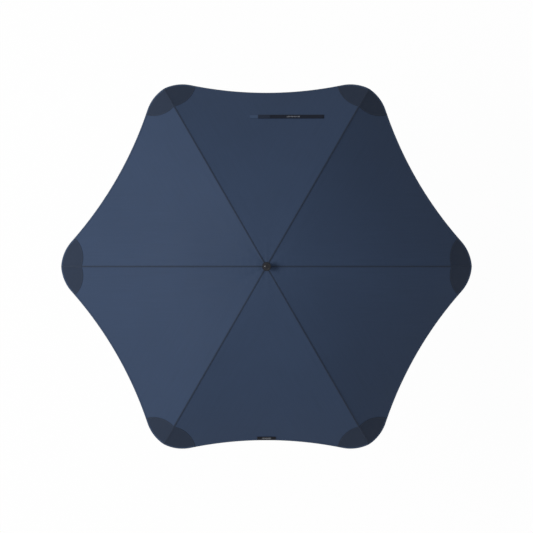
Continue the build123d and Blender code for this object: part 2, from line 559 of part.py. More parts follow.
def main():
    os.makedirs("parts", exist_ok=True)
    singles = {
        "handle_grip": handle_grip, "handle_core": handle_core, "handle_cap": handle_cap,
        "release_button": release_button, "button_plate": button_plate, "button_spring": button_spring,
        "lower_tube": lower_tube, "lower_tube_bush": lower_tube_bush, "upper_tube": upper_tube,
        "tube_collar": tube_collar, "opening_spring": opening_spring, "crown": crown,
        "ferrule": ferrule, "ferrule_washer": ferrule_washer, "runner": runner,
        "closure_strap": closure_strap, "hem_label": hem_label,
    }
    for name, make in singles.items():
        write(name, make())
    chains = {
        "rib_inner": inner_rib, "stretcher": stretcher, "rib_middle": middle_rib, "rib_outer": outer_rib,
        "tip_spreader": tip_spreader, "canopy_inner": canopy_inner, "canopy_outer": canopy_outer,
    }
    for name, make in chains.items():
        first = make()
        for i in range(RIB_COUNT):
            write(f"{name}_{i + 1}", Rot(0, 0, RIB_STEP * i) * first)


main()
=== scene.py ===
"""Looks of the open folding umbrella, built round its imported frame.

Lengths are metres.  Ribs count from 1 over +X and follow every 60 degrees; a panel lies
between a rib and the next.  'Along' is the distance from the shaft along a rib in plan.
"""
import json
import math

import bpy
import numpy as np
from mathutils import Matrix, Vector


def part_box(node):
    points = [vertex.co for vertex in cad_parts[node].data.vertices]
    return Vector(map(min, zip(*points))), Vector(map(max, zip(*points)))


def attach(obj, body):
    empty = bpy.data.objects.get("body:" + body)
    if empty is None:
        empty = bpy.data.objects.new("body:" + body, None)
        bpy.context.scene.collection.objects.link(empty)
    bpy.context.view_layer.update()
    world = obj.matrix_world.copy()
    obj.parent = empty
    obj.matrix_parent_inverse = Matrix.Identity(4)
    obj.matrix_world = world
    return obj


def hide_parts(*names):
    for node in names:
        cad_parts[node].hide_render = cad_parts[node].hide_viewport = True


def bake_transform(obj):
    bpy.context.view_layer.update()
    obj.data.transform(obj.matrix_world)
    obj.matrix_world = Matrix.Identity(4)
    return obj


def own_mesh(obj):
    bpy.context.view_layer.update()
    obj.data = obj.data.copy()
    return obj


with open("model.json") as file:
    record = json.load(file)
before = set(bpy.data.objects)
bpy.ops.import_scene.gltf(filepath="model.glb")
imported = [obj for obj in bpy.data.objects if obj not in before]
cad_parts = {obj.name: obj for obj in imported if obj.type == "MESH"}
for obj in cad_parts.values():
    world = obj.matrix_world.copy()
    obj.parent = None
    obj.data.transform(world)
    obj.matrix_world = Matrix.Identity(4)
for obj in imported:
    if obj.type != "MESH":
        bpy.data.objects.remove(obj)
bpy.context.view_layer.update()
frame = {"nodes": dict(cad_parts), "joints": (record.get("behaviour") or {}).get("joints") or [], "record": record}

# ------------------------------------------------------------------ driving sizes
RIBS = 6
RIB_STEP = 2 * math.pi / RIBS
HALF_STEP = RIB_STEP / 2
MM = 0.001

JOINTS = {joint["name"]: joint for joint in frame["joints"]}
KNEE = np.array(JOINTS["knee_1"]["pos_m"])
ELBOW = np.array(JOINTS["elbow_1"]["pos_m"])
TIP_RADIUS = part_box("canopy_outer_1")[1].x
TIP_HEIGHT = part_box("canopy_outer_1")[0].z
CROWN_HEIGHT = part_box("canopy_inner_1")[1].z
ROD_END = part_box("rib_outer_1")[1].x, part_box("rib_outer_1")[0].z

HEM_RADIUS = 405.5 * MM          # shaft to the hem at the middle of a panel
CORNER_RADIUS = 85 * MM          # rounding of the canopy's corners
CLOTH_HOLE = 8 * MM              # hole in the cloth under the ferrule's washer
CROWN_CLOTH = 14 * MM            # cloth nearer the shaft than this stays on the crown when folded
CROWN_LAP, CROWN_DROP = 4 * MM, 0.4 * MM    # the crown's cloth reaches this far under the rest
KNEE_CLEARANCE = 3.2 * MM        # cloth above the knee pivot
ELBOW_CLEARANCE = 9.3 * MM       # cloth above the elbow pivot
ROD_CLEARANCE = 1.9 * MM, 6.1 * MM          # cloth past and above the far end of the outer rod
CROWN_ROUND = 30 * MM            # how far out the cloth is rounded where it leaves the crown
ROD_RADIUS = 1.6 * MM

SAG, DRIFT = 2.6 * MM, 0.45 * MM            # heights of the cloth's sag and slow waves
PUCKER, CROWN_FOLD, PULL = 0.10 * MM, 0.30 * MM, 0.22 * MM      # beside seams, at crown, at tips

LOBE_RADIUS = 60 * MM            # each corner patch has two lobes, one each side of its rib
LOBE_ASIDE = 18 * MM             # lobe's centre, sideways from the rib
LOBE_BEYOND = 5.5 * MM           # lobe's centre, out past the tip
PATCH_LIFT = 0.35 * MM
PATCH_MEETS_HEM = 2 * MM         # a patch ends where its inner edge is this near the hem
POCKET_DROP = 2.7 * MM
CLOTH_THICKNESS = 0.25 * MM
HEM_WIDTH, HEM_THICKNESS, HEM_LIFT = 4.6 * MM, 1.1 * MM, 0.1 * MM
HEM_INSET = 0.42                 # hem's middle, in its widths in from the cloth's edge
SEAM_WIDTH, SEAM_THICKNESS, SEAM_LIFT = 3.4 * MM, 0.8 * MM, 0.05 * MM
SEAM_RIPPLE, SEAM_RIPPLE_PITCH = 0.12 * MM, 13 * MM
SEAM_STOP = 2 * MM               # seam ends this far short of the tip
PATCH_EDGE_WIDTH, PATCH_EDGE_THICKNESS = 3.2 * MM, 0.8 * MM
PATCH_EDGE_INSET = 1.2 * MM
SOCKET_REACH = 20 * MM           # socket starts this far back from the rod's end
GUSSET_DROP = 0.7 * MM
GUSSET_REACH, GUSSET_BEND = 16 * MM, 5 * MM      # half its length, and half of the part that bends
COLUMNS = 40                     # points across half a panel
ROWS = {"inner": 44, "middle": 34, "outer": 52}
FOLDED_SHARE = {"inner": 0.28, "middle": 0.12, "outer": 0.12}   # width left when folded

STRAP_DISTANCE = 345.5 * MM
STRAP_ENDS = (-19.5 * MM, 132 * MM)
STRAP_HOOKS = (-19 * MM, 8 * MM)
TAB_ENDS = (-38.5 * MM, -16 * MM)
STRAP_WIDTH, TAB_WIDTH = 10.5 * MM, 8.5 * MM
TAPE_THICKNESS = 0.9 * MM
MARK_HALF = 1.5 * MM             # half the height of a tall mark
MARK_WIDTH, MARK_THICKNESS = 0.9 * MM, 0.5 * MM
STRAP_MARKS = np.arange(47, 77, 2.6) * MM
LABEL_MARKS = np.arange(-9.9, 10.5, 2.2) * MM
LABEL_DISTANCE = 400.5 * MM
LABEL_HALF = 21.5 * MM
LABEL_WIDTH = 9.5 * MM

VIEW_WIDTH = 1.249               # what the camera sees across at the height of the tips
VIEW_DISTANCE = 3.5
SENSOR = 36.0

FLOOR_HEIGHT = -0.55
FLOOR_REACH = 14.0
LAMPS = {                        # place, size, power, colour
    "key": ((-2.1, 0.1, 2.4), 1.0, 72, (1.0, 0.98, 0.95)),
    "low fill": ((1.6, -2.2, -0.1), 1.8, 8, (0.95, 0.97, 1.0)),
}


# ------------------------------------------------------------------ camera
def place_camera():
    """Camera straight above the shaft, +Y upwards in the picture."""
    data = bpy.data.cameras.new("camera")
    data.sensor_width = SENSOR
    data.lens = SENSOR * VIEW_DISTANCE / VIEW_WIDTH
    data.clip_end = 30
    camera = bpy.data.objects.new("camera", data)
    camera.location = (0.0, 0.0, TIP_HEIGHT + VIEW_DISTANCE)
    bpy.context.scene.collection.objects.link(camera)
    bpy.context.scene.camera = camera


place_camera()


# ------------------------------------------------------------------ shader tools
def tint(red, green, blue):
    """Linear colour of a screen colour given as 0 to 255."""
    value = np.array([red, green, blue]) / 255
    linear = np.where(value <= 0.04045, value / 12.92, ((value + 0.055) / 1.055) ** 2.4)
    return (*linear.tolist(), 1.0)


class Wire:
    """A shader socket; Python's operators on it add Math nodes."""

    def __init__(self, finish, socket):
        self.finish, self.socket = finish, socket

    def math(self, operation, *values):
        return self.finish.node("ShaderNodeMath", {"operation": operation}, dict(enumerate(values)))

    def __add__(self, other):
        return self.math("ADD", self, other)

    def __radd__(self, other):
        return self.math("ADD", other, self)

    def __sub__(self, other):
        return self.math("SUBTRACT", self, other)

    def __rsub__(self, other):
        return self.math("SUBTRACT", other, self)

    def __mul__(self, other):
        return self.math("MULTIPLY", self, other)

    def __rmul__(self, other):
        return self.math("MULTIPLY", other, self)

    def __lt__(self, other):
        return self.math("LESS_THAN", self, other)

    def beside(self, output):
        """Another output of the same node."""
        return Wire(self.finish, self.socket.node.outputs[output])

    def wave(self, pitch):
        """Sine of the value, one turn every pitch, from -1 to 1."""
        return self.math("SINE", self * (2 * math.pi / pitch))

    def size(self):
        return self.math("ABSOLUTE", self)

    def clamp(self):
        return self.finish.node("ShaderNodeClamp", {}, {0: self})

    def part(self, pitch):
        """Where the value stands within its pitch, from 0 to 1."""
        return self.math("FRACT", self * (1 / pitch))


class Nodes:
    """Node tree of a material or a world; node() makes every node in it."""

    def __init__(self, owner):
        owner.use_nodes = True
        self.tree = owner.node_tree
        self.tree.nodes.clear()

    def node(self, kind, settings, inputs, output=0):
        made = self.tree.nodes.new(kind)
        for name, value in settings.items():
            setattr(made, name, value)
        for name, value in inputs.items():
            if isinstance(value, Wire):
                self.tree.links.new(value.socket, made.inputs[name])
            else:
                made.inputs[name].default_value = value
        return Wire(self, made.outputs[output]) if made.outputs else None

    def seen_as_backdrop(self):
        """1 on rays from the camera, a mirror or glass, 0 on rays that light the object."""
        camera = self.node("ShaderNodeLightPath", {}, {}, "Is Camera Ray")
        return (camera + camera.beside("Is Glossy Ray") + camera.beside("Is Transmission Ray")).clamp()


class Finish(Nodes):
    """A material round one main shader."""

    def __init__(self, name, color, roughness, **uniform):
        self.material = bpy.data.materials.new(name)
        super().__init__(self.material)
        self.surface = self.node("ShaderNodeBsdfPrincipled", {},
                                 {"Base Color": color, "Roughness": roughness})
        for socket, value in uniform.items():
            self.surface.socket.node.inputs[socket.replace("_", " ")].default_value = value
        self.output(self.surface)

    def output(self, surface):
        """Makes the surface that the material shows."""
        for old in [node for node in self.tree.nodes if node.type == "OUTPUT_MATERIAL"]:
            self.tree.nodes.remove(old)
        self.node("ShaderNodeOutputMaterial", {}, {"Surface": surface})

    def feed(self, **inputs):
        for name, value in inputs.items():
            self.tree.links.new(value.socket, self.surface.socket.node.inputs[name.replace("_", " ")])

    def coordinates(self, output="Object"):
        return self.node("ShaderNodeTexCoord", {}, {}, output)

    def axes(self, output="Object"):
        """The three coordinates as separate values."""
        split = self.node("ShaderNodeSeparateXYZ", {}, {0: self.coordinates(output)})
        return split, split.beside("Y"), split.beside("Z")

    def noise(self, per_metre, detail=3.0, roughness=0.5, output="Object", stretch=(1, 1, 1)):
        place = self.node("ShaderNodeMapping", {}, {"Vector": self.coordinates(output), "Scale": stretch})
        return self.node("ShaderNodeTexNoise", {}, {"Vector": place, "Scale": per_metre, "Detail": detail,
                                                    "Roughness": roughness})

    def mix(self, amount, first, second):
        return self.node("ShaderNodeMixRGB", {}, {"Fac": amount, "Color1": first, "Color2": second})

    def bump(self, height, distance, strength=1.0, under=None):
        inputs = {"Height": height, "Distance": distance, "Strength": strength}
        if under is not None:
            inputs["Normal"] = under
        return self.node("ShaderNodeBump", {}, inputs)


# ------------------------------------------------------------------ materials
def cloth_finish(name, color, light, shade, weave=0.45 * MM):
    """Plain-woven cloth on a UV map in metres: crossing threads, soft mottle, faint creases."""
    finish = Finish(name, color, 0.7, Sheen_Weight=0.04, Sheen_Roughness=0.5, Specular_IOR_Level=0.16)
    along, across, _ = finish.axes("UV")
    warp, weft = along.wave(weave), across.wave(weave)
    mottle = finish.noise(38, 4, 0.6)
    fibre = finish.noise(1400, 2, 0.6)
    broad = finish.noise(7, 2, 0.5)
    slub = finish.noise(260, 2, 0.5, "UV", (0.04, 1, 1))
    tone = ((mottle - 0.5) * 0.4 + (broad - 0.5) * 0.35 + (fibre - 0.5) * 0.5 + (slub - 0.5) * 0.5
            + warp * weft * 0.1)
    finish.feed(Base_Color=finish.mix((tone + 0.5).clamp(), shade, light), Roughness=0.62 + mottle * 0.16)
    crease = finish.bump(finish.noise(55, 5, 0.55), 0.4 * MM, 0.35)
    finish.feed(Normal=finish.bump(warp * weft * 0.5 + fibre + slub * 0.4, 0.05 * MM, 0.5, crease))
    return finish.material


def sewn_finish(name, color, thread, half_width, pitch=2.6 * MM):
    """Sewn band on a UV map in metres: along and across it, with a row of stitches each side."""
    finish = Finish(name, color, 0.72, Sheen_Weight=0.04, Specular_IOR_Level=0.16)
    along, across, _ = finish.axes("UV")
    row = (across.size() - half_width * 0.62).size() < 0.34 * MM
    dash = along.part(pitch) < 0.68
    stitch = row * dash
    fuzz = finish.noise(900, 3, 0.6)
    pulled = finish.noise(120, 3, 0.5)
    finish.feed(Base_Color=finish.mix(stitch, finish.mix(fuzz, color, thread), thread),
                Roughness=0.62 + fuzz * 0.16)
    finish.feed(Normal=finish.bump(stitch * 0.7 + pulled * 0.6 + fuzz * 0.12, 0.35 * MM, 0.8))
    return finish.material


def webbing_finish(name, color, light, pitch=0.9 * MM):
    """Close ribbed tape: fine cross ribs, with a twill slant."""
    finish = Finish(name, color, 0.66, Sheen_Weight=0.02, Specular_IOR_Level=0.1)
    along, across, _ = finish.axes("UV")
    ribs = (along + across * 0.5).wave(pitch)
    fuzz = finish.noise(1100, 3, 0.6)
    finish.feed(Base_Color=finish.mix(ribs * 0.3 + fuzz * 0.4 + 0.15, color, light),
                Roughness=0.52 + fuzz * 0.2)
    finish.feed(Normal=finish.bump(ribs * 0.6 + fuzz * 0.4, 0.12 * MM, 0.8))
    return finish.material


def moulded_finish(name, color, light, roughness, coat=0.0):
    """Moulded plastic: fine spark-eroded grain, slight flow marks and handling sheen."""
    finish = Finish(name, color, roughness, Coat_Weight=coat, Coat_Roughness=0.08)
    skin = finish.noise(2600, 2, 0.5)
    rub = finish.noise(60, 4, 0.6)
    finish.feed(Base_Color=finish.mix(rub, color, light), Roughness=(roughness - 0.06) + rub * 0.14)
    finish.feed(Normal=finish.bump(skin, 0.03 * MM, 0.6))
    return finish.material


def gloss_finish(name, color, light):
    """Polished black cap: deep gloss with faint hairlines and dust."""
    finish = Finish(name, color, 0.16, Coat_Weight=0.12, Coat_Roughness=0.06, Specular_IOR_Level=0.2)
    dust = finish.noise(420, 5, 0.7)
    hair = finish.noise(90, 3, 0.6, stretch=(1, 1, 9))
    finish.feed(Base_Color=finish.mix(dust * 0.6, color, light), Roughness=0.12 + hair * 0.12)
    finish.feed(Normal=finish.bump(hair, 0.02 * MM, 0.3))
    return finish.material


def drawn_metal_finish(name, color, light, roughness, stretch=(1, 1, 0.03)):
    """Drawn or plated metal: hairlines along its length and faint stains."""
    finish = Finish(name, color, roughness, Metallic=1.0)
    hair = finish.noise(2400, 3, 0.6, stretch=stretch)
    stain = finish.noise(35, 4, 0.6)
    finish.feed(Base_Color=finish.mix(stain * 0.5 + hair * 0.3, color, light),
                Roughness=(roughness - 0.08) + hair * 0.12 + stain * 0.1)
    finish.feed(Normal=finish.bump(hair, 0.012 * MM, 0.5))
    return finish.material


def coated_finish(name, color, worn, roughness):
    """Baked coating on steel: orange peel, with the coat thinned in rubbed places."""
    finish = Finish(name, color, roughness, Coat_Weight=0.15, Coat_Roughness=0.25)
    peel = finish.noise(700, 3, 0.5)
    rub = finish.noise(110, 5, 0.7)
    bare = ((rub - 0.62) * 6).clamp()
    finish.feed(Base_Color=finish.mix(bare * 0.7, color, worn), Metallic=bare * 0.8,
                Roughness=roughness + peel * 0.1 - bare * 0.08)
    finish.feed(Normal=finish.bump(peel, 0.03 * MM, 0.5))
    return finish.material


def fibre_finish(name, color, light):
    """Pultruded rod: fine fibres seen through a satin resin."""
    finish = Finish(name, color, 0.34, Coat_Weight=0.3, Coat_Roughness=0.2)
    streak = finish.noise(1500, 4, 0.6, stretch=(0.06, 0.06, 0.12))
    patch = finish.noise(80, 3, 0.5)
    finish.feed(Base_Color=finish.mix(streak * 0.8, color, light), Roughness=0.28 + patch * 0.16)
    finish.feed(Normal=finish.bump(streak, 0.02 * MM, 0.5))
    return finish.material


def grip_finish(name, color, light):
    """Soft-touch grip: fine pebbled skin, a little shinier where the hand rubs it."""
    finish = Finish(name, color, 0.55, Sheen_Weight=0.05, Specular_IOR_Level=0.4)
    pebble = finish.node("ShaderNodeTexVoronoi", {"feature": "SMOOTH_F1"},
                         {"Vector": finish.coordinates(), "Scale": 900.0, "Smoothness": 0.5})
    rub = finish.noise(40, 4, 0.6)
    finish.feed(Base_Color=finish.mix(rub, color, light), Roughness=0.66 - rub * 0.2)
    finish.feed(Normal=finish.bump(pebble, 0.12 * MM, 0.5))
    return finish.material


NAVY, NAVY_LIGHT, NAVY_SHADE = tint(44, 59, 82), tint(48, 63, 88), tint(40, 54, 76)
INK, INK_LIGHT = tint(15, 19, 30), tint(27, 33, 47)
FINISHES = {
    "canopy_fabric": cloth_finish("navy cloth", NAVY, NAVY_LIGHT, NAVY_SHADE),
    "patch": cloth_finish("navy patch cloth", tint(31, 41, 59), tint(34, 45, 63), tint(27, 37, 54)),
    # hem: its base colour, a little darker than the cloth, is painted shade of the rolled edge; its lighter
    # stitches are real thread
    "hem": sewn_finish("sewn navy hem", tint(38, 51, 73), tint(54, 70, 95), HEM_WIDTH / 2),
    "seam": sewn_finish("sewn navy seam", tint(27, 36, 51), tint(37, 48, 66), SEAM_WIDTH / 2),
    "tab": cloth_finish("loop tab cloth", tint(53, 69, 95), tint(58, 75, 101), tint(47, 62, 86)),
    "strap_fabric": webbing_finish("strap tape", INK, INK_LIGHT),
    "hook_tape": webbing_finish("hook tape", tint(26, 33, 47), tint(40, 49, 66), 0.5 * MM),
    "label_fabric": webbing_finish("label satin", tint(11, 12, 18), tint(23, 24, 32), 0.6 * MM),
    "marks": cloth_finish("white thread", tint(150, 153, 160), tint(172, 175, 182), tint(128, 131, 139),
                          0.3 * MM),
    "inner_steel": coated_finish("black coated steel", tint(30, 31, 34), tint(120, 122, 126), 0.42),
    "middle_rib": coated_finish("grey coated steel", tint(74, 77, 82), tint(140, 142, 146), 0.38),
    "outer_rod": fibre_finish("glass fibre", tint(44, 46, 50), tint(74, 77, 82)),
    "spreader_plastic": moulded_finish("spreader plastic", tint(34, 38, 46), tint(44, 48, 58), 0.5),
    "soft_grip": grip_finish("soft grip", tint(27, 28, 30), tint(38, 39, 42)),
    "core_plastic": moulded_finish("black plastic", tint(26, 27, 29), tint(40, 41, 44), 0.42),
    "cap_plastic": moulded_finish("cap plastic", tint(30, 31, 33), tint(44, 45, 48), 0.4),
    "button_plastic": moulded_finish("button plastic", tint(52, 54, 58), tint(68, 70, 75), 0.3, coat=0.3),
    "bush_plastic": moulded_finish("natural plastic", tint(205, 203, 196), tint(222, 220, 214), 0.4),
    "ferrule_plastic": gloss_finish("gloss black", tint(9, 10, 18), tint(17, 19, 30)),
    "washer_plastic": gloss_finish("washer black", tint(10, 11, 18), tint(18, 20, 30)),
    "tube_steel": drawn_metal_finish("plated tube", tint(150, 153, 158), tint(182, 184, 188), 0.3),
    "spring_steel": drawn_metal_finish("spring wire", tint(170, 170, 170), tint(200, 200, 200), 0.3,
                                       (1, 1, 1)),
}


# ------------------------------------------------------------------ the cloth's shape
def rounded(along):
    """Distance along a rib, rounded off near the crown: hypot(r, c) - c."""
    return np.hypot(along, CROWN_ROUND) - CROWN_ROUND


def rib_height_curve():
    """Cubic in the rounded distance, through the cloth's height at crown, knee, elbow and rod's end."""
    reach = rounded(np.array([KNEE[0], ELBOW[0], ROD_END[0] + ROD_CLEARANCE[0]]))
    height = np.array([KNEE[2] + KNEE_CLEARANCE, ELBOW[2] + ELBOW_CLEARANCE, ROD_END[1] + ROD_CLEARANCE[1]])
    return np.linalg.solve(np.stack([reach, reach ** 2, reach ** 3], 1), height - CROWN_HEIGHT)


HEIGHT_CURVE = rib_height_curve()


def rib_height(along):
    """Height of the taut cloth over a rib: crown height + a s + b s^2 + c s^3, s the rounded distance."""
    reach = rounded(along)
    return CROWN_HEIGHT + reach * (HEIGHT_CURVE[0] + reach * (HEIGHT_CURVE[1] + reach * HEIGHT_CURVE[2]))


def cloth_height(x, y):
    """Height of the cloth over a plan place, as arrays.

    The taut sheet keeps one height along each line parallel to a panel's hem.  On it lie a
    slight sag between the ribs, puckers beside the seams, short folds round the crown and
    pulls that fan out from the tips.  All of them fade to nothing on the ribs."""
    distance = np.hypot(x, y)
    azimuth = np.mod(np.arctan2(y, x), 2 * math.pi)
    panel = np.minimum(np.floor(azimuth / RIB_STEP), RIBS - 1)
    turn = azimuth - (panel + 0.5) * RIB_STEP
    square = distance * np.cos(turn)
    side = np.clip(np.tan(turn) / math.tan(HALF_STEP), -1, 1)
    free = 1 - side ** 2
    from_rib = distance * np.sin(np.clip(HALF_STEP - np.abs(turn), 0, HALF_STEP))
    along_rib = distance * np.cos(HALF_STEP - np.abs(turn))
    sag = -SAG * free * (square / HEM_RADIUS) ** 1.5
    near_seam = from_rib / (7 * MM)
    pucker = PUCKER * near_seam * np.exp(1 - near_seam)
    pucker *= np.sin(along_rib * 2 * math.pi / (15 * MM) + 2.3 * panel
                     + 0.9 * np.sin(along_rib * 37 + panel))
    pucker *= 0.35 + 1.5 * np.exp(-distance / 0.06) + 0.6 * np.exp((distance - TIP_RADIUS) / 0.05)
    crown = CROWN_FOLD * free * np.exp(-distance / 0.055) * np.sin(side * 7.5 + panel * 1.7)
    crown *= distance / 0.03
    crown *= np.exp(-distance / 0.09)
    drift = DRIFT * free * np.sin(square * 31 + panel * 2.1) * np.cos(side * 2.6 + panel)
    tip_x = TIP_RADIUS - along_rib
    fan = np.arctan2(from_rib, np.abs(tip_x) + 5 * MM)
    pull = PULL * np.sin(fan * 13 + panel) * np.exp(-np.hypot(from_rib, tip_x) / 0.085) * free ** 0.5
    return rib_height(square / math.cos(HALF_STEP)) + sag + pucker + crown + drift + pull


def on_cloth(x, y, lift=0.0):
    """Points over plan places, a vertical lift above the cloth."""
    return np.stack([x, y, cloth_height(x, y) + lift], -1)


def cloth_normal(x, y, reach=0.6 * MM):
    """Unit normals of the cloth from its slopes over a short reach each way."""
    slope_x = (cloth_height(x + reach, y) - cloth_height(x - reach, y)) / (2 * reach)
    slope_y = (cloth_height(x, y + reach) - cloth_height(x, y - reach)) / (2 * reach)
    normal = np.stack([-slope_x, -slope_y, np.ones_like(x)], -1)
    return normal / np.linalg.norm(normal, axis=-1, keepdims=True)


def hem_arcs():
    """Hem arc's centre distance on the mid line, its radius, and where it meets the corner arc."""
    corner, near = TIP_RADIUS - CORNER_RADIUS, HEM_RADIUS - CORNER_RADIUS
    far = (corner ** 2 - near ** 2) / (2 * (corner * math.cos(HALF_STEP) - near))
    radius = far - HEM_RADIUS
    hem = np.array([far * math.cos(HALF_STEP), far * math.sin(HALF_STEP)])
    away = hem - [corner, 0]
    join = np.array([corner, 0]) + away / np.linalg.norm(away) * CORNER_RADIUS
    return far, radius, math.atan2(join[1], join[0])


def outline(angle):
    """Distance from the shaft to the cloth's edge at an angle from the nearest rib.

    Up to the join it is the far hit on the corner circle, and beyond it the near hit on
    the hem circle, which is centred outside on the panel's mid line."""
    far, radius, join = hem_arcs()
    corner = TIP_RADIUS - CORNER_RADIUS
    inside = np.maximum(CORNER_RADIUS ** 2 - (corner * np.sin(angle)) ** 2, 0)
    tip = corner * np.cos(angle) + np.sqrt(inside)
    turn = HALF_STEP - angle
    hem = far * np.cos(turn) - np.sqrt(radius ** 2 - (far * np.sin(turn)) ** 2)
    return np.where(angle <= join, tip, hem)


# ------------------------------------------------------------------ meshes
def grid_faces(rows, columns, wrap=False, flip=False):
    """Quads between neighbours of a rows by columns grid; wrap joins the last column to the first."""
    last = columns if wrap else columns - 1
    row, column = np.meshgrid(np.arange(rows - 1), np.arange(last), indexing="ij")
    beside = (column + 1) % columns
    quads = np.stack([row * columns + column, (row + 1) * columns + column,
                      (row + 1) * columns + beside, row * columns + beside], -1).reshape(-1, 4)
    return quads[:, ::-1] if flip else quads


def make_piece(name, points, faces, finish, uv=None, normals=None):
    """Mesh object at the origin from arrays of points, faces, UVs and normals per point."""
    mesh = bpy.data.meshes.new(name)
    mesh.from_pydata(points.reshape(-1, 3).tolist(), [], [list(map(int, f)) for f in faces])
    mesh.polygons.foreach_set("use_smooth", np.ones(len(mesh.polygons), bool))
    if uv is not None:
        layer = mesh.uv_layers.new(name="UVMap")
        corner = np.empty(len(mesh.loops), np.int32)
        mesh.loops.foreach_get("vertex_index", corner)
        layer.data.foreach_set("uv", uv.reshape(-1, 2)[corner].astype(np.float32).ravel())
    mesh.materials.append(FINISHES[finish])
    mesh.update()
    if normals is not None:
        mesh.normals_split_custom_set_from_vertices(normals.reshape(-1, 3).tolist())
    piece = bpy.data.objects.new(name, mesh)
    bpy.context.scene.collection.objects.link(piece)
    return piece


def make_sheet(name, points, normals, finish, uv, flip=False):
    """Thin closed sheet: a grid of points, its copy a thickness below, and a wall round both."""
    rows, columns = points.shape[:2]
    index = np.arange(rows * columns).reshape(rows, columns)
    rim = np.concatenate([index[:-1, 0], index[-1, :-1], index[:0:-1, -1], index[0, :0:-1]])
    after = np.roll(rim, -1)
    wall = np.stack([rim, rim + index.size, after + index.size, after], -1)
    faces = np.concatenate([grid_faces(rows, columns, flip=flip),
                            grid_faces(rows, columns, flip=not flip) + index.size,
                            wall[:, ::-1] if flip else wall])
    both = np.stack([points, points - CLOTH_THICKNESS * normals])
    return make_piece(name, both, faces, finish, np.stack([uv, uv]), np.stack([normals, -normals]))


def make_strip(name, path, across, up, profile, finish):
    """Closed profile (across, up) carried along a path, its ends closed by flat caps.

    Point = path + p across + q up.  The UV map is (distance along, p)."""
    points = path[:, None] + profile[None, :, 0:1] * across[:, None] + profile[None, :, 1:2] * up[:, None]
    rows, columns = points.shape[:2]
    distance = np.r_[0, np.cumsum(np.linalg.norm(np.diff(path, axis=0), axis=1))]
    uv = np.stack(np.broadcast_arrays(distance[:, None], profile[None, :, 0]), -1)
    faces = [list(f) for f in grid_faces(rows, columns, wrap=True)]
    faces.append(list(range(columns)))
    faces.append(list(range(rows * columns - 1, (rows - 1) * columns - 1, -1)))
    return make_piece(name, points, faces, finish, uv)


def oval(width, thickness, count=12, power=0.6):
    """Flattened oval: signed powers of cosine and sine, counter-clockwise seen along the path."""
    turn = np.arange(count) * 2 * math.pi / count
    c, s = np.cos(turn), np.sin(turn)
    return np.stack([np.sign(c) * np.abs(c) ** power * width / 2,
                     np.sign(s) * np.abs(s) ** power * thickness / 2], 1)


def unit(vectors):
    """The vectors at length one."""
    return vectors / np.linalg.norm(vectors, axis=-1, keepdims=True)


# ------------------------------------------------------------------ folding
def side_word(side):
    return "left" if side > 0 else "right"


def rib_azimuth(rib):
    return (rib - 1) * RIB_STEP


def section_slope(near, far):
    """Downward angle of the straight line between two places on the cloth over a rib."""
    return math.atan2(rib_height(near) - rib_height(far), far - near)


def fold_flat(piece):
    """Gives the piece a mesh of its own; it does not narrow the piece as the canopy folds."""
    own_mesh(piece)


SECTIONS = {"inner": (CROWN_CLOTH, KNEE[0]), "middle": (KNEE[0], ELBOW[0]), "outer": (ELBOW[0], TIP_RADIUS)}
CLOTH_NODE = {"inner": "canopy_inner", "middle": "canopy_inner", "outer": "canopy_outer"}


def cloth_grid(rib, side, inner, outer, last_angle, rows, columns):
    """Plan places between two distances: (rows by columns) over the way out and the angle
    from the rib, which steps finer near the rib.  inner and outer are functions of the angle."""
    angle = last_angle * np.linspace(0, 1, columns) ** 1.25
    share = np.linspace(0, 1, rows)[:, None]
    distance = inner(angle) + share * (outer(angle) - inner(angle))
    azimuth = rib_azimuth(rib) + side * angle
    x, y = distance * np.cos(azimuth), distance * np.sin(azimuth)
    return x, y, distance, np.broadcast_to(angle, distance.shape)


def panel_sheet(name, rib, side, section, inner, outer, last_angle, rows, columns, finish, lift):
    """Half of the cloth over one rib between two curves, with the canopy's own normals."""
    x, y, distance, angle = cloth_grid(rib, side, inner, outer, last_angle, rows, columns)
    points = on_cloth(x, y, lift)
    uv = np.stack([distance * np.cos(angle), distance * np.sin(angle)], -1)
    piece = make_sheet(name, points, cloth_normal(x, y), finish, uv, flip=side < 0)
    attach(piece, f"{section}_{rib}")
    fold_flat(piece)
    return piece


def cut_across(along):
    """Distance from the shaft, by the angle from the rib, to a cut square to the rib in space:
    along / (cos a + lean sin a), with lean = sin(slope)^2 tan(30)."""
    slope = section_slope(along, along / math.cos(HALF_STEP) ** 2)
    lean = math.sin(slope) ** 2 * math.tan(HALF_STEP)
    return lambda angle: along / (np.cos(angle) + lean * np.sin(angle))


def cloth_over_rib(rib, side):
    """The three half sheets beside one rib, divided where the ribs fold."""
    limits = {
        "inner": (lambda a: CROWN_CLOTH / np.cos(a), cut_across(KNEE[0])),
        "middle": (cut_across(KNEE[0]), cut_across(ELBOW[0])),
        "outer": (cut_across(ELBOW[0]), outline),
    }
    for section, (inner, outer) in limits.items():
        sheet = panel_sheet(f"cloth_{section}_{rib}_{side_word(side)}", rib, side, section, inner, outer,
                            HALF_STEP, ROWS[section], COLUMNS, "canopy_fabric", 0.0)
        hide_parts(f"{CLOTH_NODE[section]}_{rib}")


